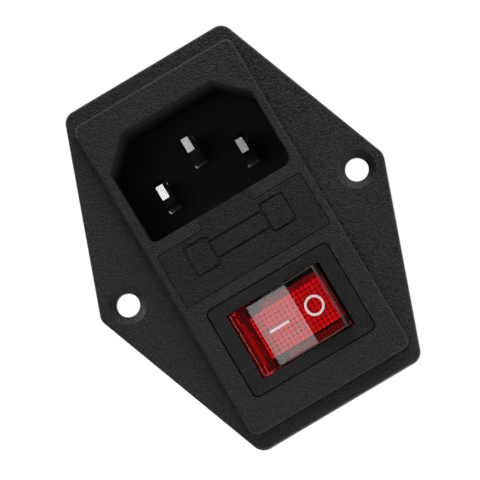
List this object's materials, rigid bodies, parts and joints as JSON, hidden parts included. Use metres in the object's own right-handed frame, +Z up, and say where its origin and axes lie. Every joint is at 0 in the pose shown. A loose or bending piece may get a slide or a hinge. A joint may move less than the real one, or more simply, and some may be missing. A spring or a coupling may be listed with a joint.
{
  "type": "power entry module",
  "caption": "Panel-mount mains inlet with blade pins, pull-out fuse drawer and illuminated rocker switch on a screw-eared flange.",
  "frame": {"origin": "midway between the two ear holes, in the flange's back face that sits on the panel", "axes": "+Y goes into the panel, towards the rear terminals; +Z up, from the switch to the inlet; +X to the right as seen from the front"},
  "size_m": [0.049, 0.031, 0.0588],
  "materials": {
    "black_plastic": "fine spark-eroded texture, black",
    "switch_plastic": "fine texture, black",
    "red_clear_plastic": "clear red, polished",
    "plated_brass": "nickel plated, satin",
    "brass": "rolled strip",
    "spring_metal": "tinned spring bronze",
    "nickel_cap": "nickel plated",
    "glass": "clear",
    "spring_steel": "drawn wire",
    "resistor_body": "lacquered",
    "contact_silver": "silver alloy"
  },
  "bodies": {
    "module": {"housing": "black_plastic", "line_pin": "plated_brass", "neutral_pin": "plated_brass", "earth_pin": "plated_brass", "line_link_strip": "brass", "fuse_clip_left": "spring_metal", "fuse_clip_right": "spring_metal", "switch_body": "switch_plastic", "common_terminal": "plated_brass", "load_terminal": "plated_brass", "load_contact": "contact_silver", "lamp_terminal": "plated_brass", "lamp_spring_left": "spring_steel", "lamp_spring_right": "spring_steel"},
    "drawer": {"fuse_drawer": "black_plastic", "fuse_glass": "glass", "fuse_cap_left": "nickel_cap", "fuse_cap_right": "nickel_cap", "fuse_wire": "nickel_cap", "spare_fuse_glass": "glass", "spare_fuse_cap_left": "nickel_cap", "spare_fuse_cap_right": "nickel_cap", "spare_fuse_wire": "nickel_cap"},
    "rocker_assembly": {"rocker": "red_clear_plastic", "plunger_spring": "spring_steel", "neon_lamp": "glass", "lamp_link": "spring_steel", "lamp_resistor": "resistor_body", "lamp_lead_left": "spring_steel", "lamp_lead_right": "spring_steel"},
    "plunger_body": {"plunger": "switch_plastic"},
    "lever": {"contact_lever": "brass", "lever_contact": "contact_silver"}
  },
  "joints": [
    {"name": "drawer_slide", "type": "slide", "parent": "module", "child": "drawer", "axis": [0, -1, 0], "range_m": [0, 0.013]},
    {"name": "rocker_hinge", "type": "hinge", "parent": "module", "child": "rocker_assembly", "pos_m": [0, -0.0025, -0.01465], "axis": [0, 0, 1], "range_deg": [0, 18], "deforming": ["lamp_spring_left", "lamp_spring_right"]},
    {"name": "plunger_slide", "type": "slide", "parent": "rocker_assembly", "child": "plunger_body", "axis": [-0.1564, -0.9877, 0], "range_m": [0, 0.0006], "stiffness_N_per_m": 300, "springref_m": -0.001, "deforming": ["plunger_spring"]},
    {"name": "lever_hinge", "type": "hinge", "parent": "module", "child": "lever", "pos_m": [0, 0.00477, -0.01465], "axis": [0, 0, 1], "range_deg": [-16, 0]}
  ],
  "couplings": [
    {"joint": "lever_hinge", "follows": "rocker_hinge", "ratio": -0.88889}
  ]
}
